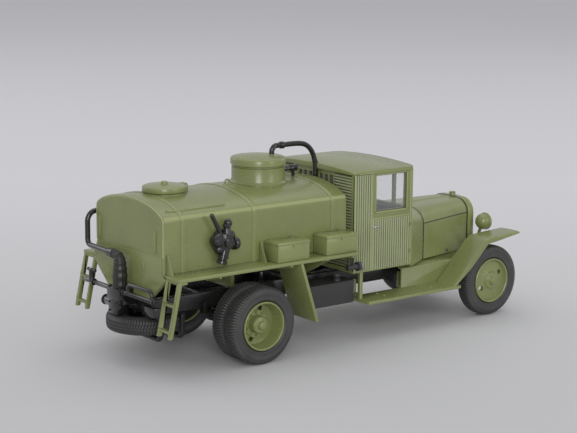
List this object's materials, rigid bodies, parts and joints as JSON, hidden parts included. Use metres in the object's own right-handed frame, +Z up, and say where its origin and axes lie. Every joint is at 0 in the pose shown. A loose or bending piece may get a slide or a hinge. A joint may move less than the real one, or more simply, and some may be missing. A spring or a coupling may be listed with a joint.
{
  "type": "scale model tanker truck",
  "caption": "Scale model of a bonneted fuel tanker truck: slatted cab, crowned tank with filler dome, side walkways, pump pipes, ladders and free-rolling twin rear wheels.",
  "frame": {"origin": "on the floor under the middle of the model's length and width", "axes": "+X forward along the model, +Y to its left side, +Z up"},
  "size_m": [0.1322, 0.0478, 0.0556],
  "materials": {
    "green_paint": "satin",
    "black_plastic": "satin",
    "grey_plastic": "matte",
    "cab_trim": "matte",
    "tyre_rubber": "matte",
    "clear_glass": "gloss",
    "lens_glass": "gloss"
  },
  "bodies": {
    "truck": {"cab_floor": "green_paint", "cab_back": "green_paint", "cab_quarters": "green_paint", "cab_doors": "green_paint", "cab_front": "green_paint", "cab_roof": "green_paint", "cowl": "green_paint", "bonnet": "green_paint", "radiator_shell": "green_paint", "fenders": "green_paint", "running_boards": "green_paint", "headlight_bodies": "green_paint", "tank_body": "green_paint", "dome_lid": "green_paint", "hatch_lid": "green_paint", "walkways": "green_paint", "tank_cradles": "green_paint", "lockers": "green_paint", "mudguards": "green_paint", "ladders": "green_paint", "chassis_frame": "black_plastic", "front_axle": "black_plastic", "rear_axle": "black_plastic", "leaf_springs": "black_plastic", "drive_shaft": "black_plastic", "engine_underside": "black_plastic", "exhaust": "black_plastic", "radiator_core": "black_plastic", "side_pump": "black_plastic", "vent_pipe": "black_plastic", "dome_valve": "black_plastic", "rear_pipe": "black_plastic", "rear_hose": "black_plastic", "rear_pump": "black_plastic", "spare_disc": "black_plastic", "spare_carrier": "black_plastic", "side_box": "grey_plastic", "delivery_valve": "grey_plastic", "seat": "cab_trim", "dashboard": "cab_trim", "steering_wheel": "cab_trim", "spare_tyre": "tyre_rubber", "cab_glass": "clear_glass", "headlight_lenses": "lens_glass"},
    "front_left_wheel": {"front_left_tyre": "tyre_rubber", "front_left_rim": "green_paint"},
    "front_right_wheel": {"front_right_tyre": "tyre_rubber", "front_right_rim": "green_paint"},
    "rear_left_wheels": {"rear_left_tyres": "tyre_rubber", "rear_left_rims": "green_paint"},
    "rear_right_wheels": {"rear_right_tyres": "tyre_rubber", "rear_right_rims": "green_paint"}
  },
  "joints": [
    {"name": "front_left_spin", "type": "hinge", "parent": "truck", "child": "front_left_wheel", "pos_m": [0.05545, 0.018, 0.01065], "axis": [0, 1, 0], "continuous": true},
    {"name": "front_right_spin", "type": "hinge", "parent": "truck", "child": "front_right_wheel", "pos_m": [0.05545, -0.018, 0.01065], "axis": [0, 1, 0], "continuous": true},
    {"name": "rear_left_spin", "type": "hinge", "parent": "truck", "child": "rear_left_wheels", "pos_m": [-0.03315, 0.0188, 0.01065], "axis": [0, 1, 0], "continuous": true},
    {"name": "rear_right_spin", "type": "hinge", "parent": "truck", "child": "rear_right_wheels", "pos_m": [-0.03315, -0.0188, 0.01065], "axis": [0, 1, 0], "continuous": true}
  ]
}
